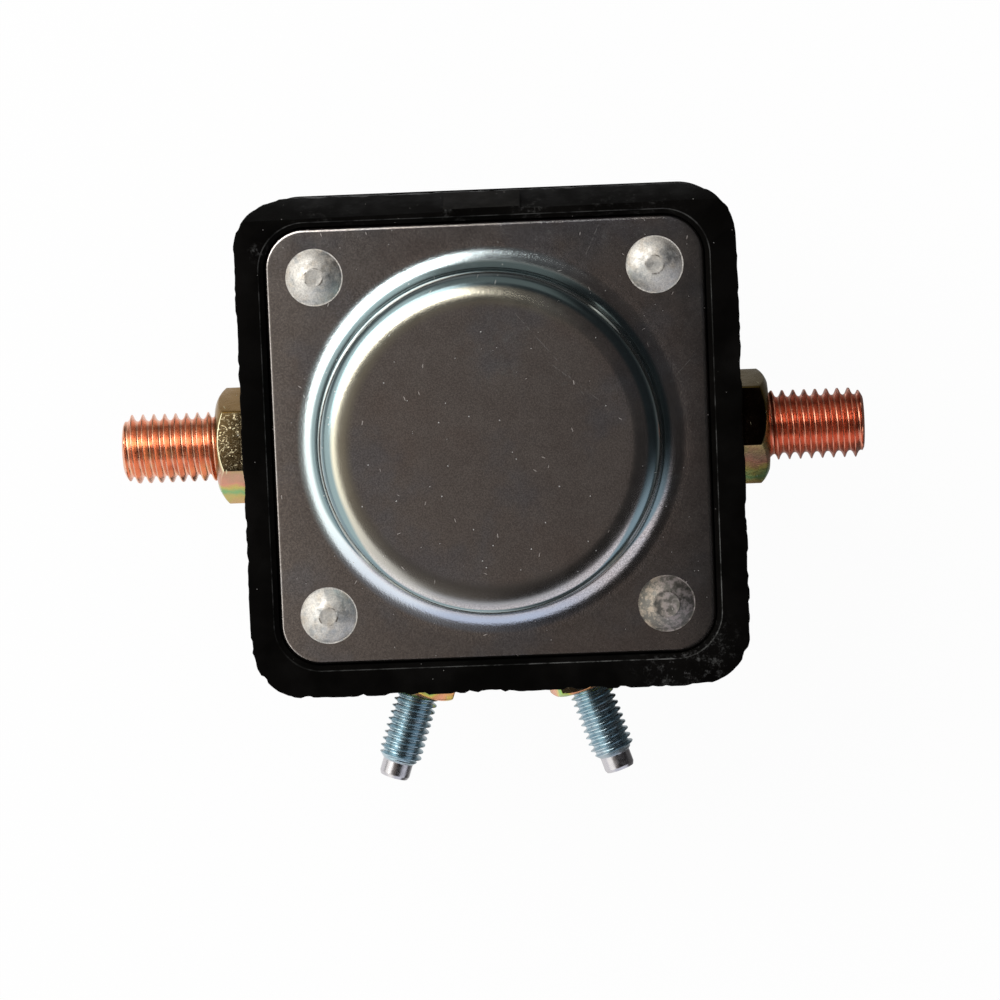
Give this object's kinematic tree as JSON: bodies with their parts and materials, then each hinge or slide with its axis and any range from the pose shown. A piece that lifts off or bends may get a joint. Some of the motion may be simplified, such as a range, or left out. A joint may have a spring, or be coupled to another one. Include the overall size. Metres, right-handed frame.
{
  "type": "starter solenoid",
  "caption": "Four-terminal starter solenoid: square moulded housing with a raised round cover, drawn coil can, two large and two small threaded terminals, and a two-eared mounting bracket.",
  "frame": {"origin": "midway between the two mounting holes, on the mounting face of the bracket, which is also the axis of the coil and the plunger", "axes": "+Z from the mounting face towards the front cover; +X along the large terminals; the two small terminals point towards -Y"},
  "size_m": [0.0848, 0.0677, 0.0651],
  "materials": {
    "plated_steel": "bright zinc plate on drawn sheet, fine spangle, light scratches",
    "black_phenolic": "moulded phenolic, semi-matte, dusty, rough along the trimmed top edge",
    "rivet_aluminium": "dull, mottled",
    "terminal_copper": "bare bright copper, rolled thread",
    "chromate_nut": "yellow chromate on zinc, iridescent",
    "blue_zinc": "clear blue zinc plate, rolled thread",
    "core_iron": "turned soft iron, oiled",
    "guide_brass": "drawn tube, satin",
    "bobbin_nylon": "natural nylon",
    "enamelled_wire": "enamelled copper wire, glossy",
    "gasket_sheet": "cut rubberised fibre sheet",
    "insulator_fibre": "red-brown vulcanised fibre",
    "spring_steel": "drawn spring wire, oiled"
  },
  "bodies": {
    "case": {"mounting_bracket": "plated_steel", "coil_can": "plated_steel", "fixed_core": "core_iron", "guide_tube": "guide_brass", "bobbin": "bobbin_nylon", "coil_winding": "enamelled_wire", "pole_plate": "core_iron", "flange_gasket": "gasket_sheet", "housing": "black_phenolic", "cover_gasket": "gasket_sheet", "front_cover": "plated_steel", "corner_rivets": "rivet_aluminium", "left_terminal_stud": "terminal_copper", "right_terminal_stud": "terminal_copper", "terminal_nuts": "chromate_nut", "coil_terminal_stud": "blue_zinc", "ignition_terminal_stud": "blue_zinc", "control_nuts": "chromate_nut", "ignition_contact": "terminal_copper", "coil_lead": "enamelled_wire", "ground_lead": "enamelled_wire", "return_spring": "spring_steel"},
    "plunger_group": {"plunger": "core_iron", "plunger_rod": "blue_zinc", "retaining_clip": "spring_steel", "contact_spring": "spring_steel"},
    "disc_group": {"contact_disc": "terminal_copper", "lower_insulator": "insulator_fibre", "upper_insulator": "insulator_fibre"}
  },
  "joints": [
    {"name": "plunger_slide", "type": "slide", "parent": "case", "child": "plunger_group", "axis": [0, 0, -1], "range_m": [0, 0.003], "stiffness_N_per_m": 900, "springref_m": -0.004, "deforming": ["return_spring"]},
    {"name": "disc_slide", "type": "slide", "parent": "plunger_group", "child": "disc_group", "axis": [0, 0, 1], "range_m": [0, 0.0005], "deforming": ["contact_spring"]}
  ],
  "couplings": [
    {"joint": "disc_slide", "follows": "plunger_slide", "ratio": 0.16667}
  ]
}
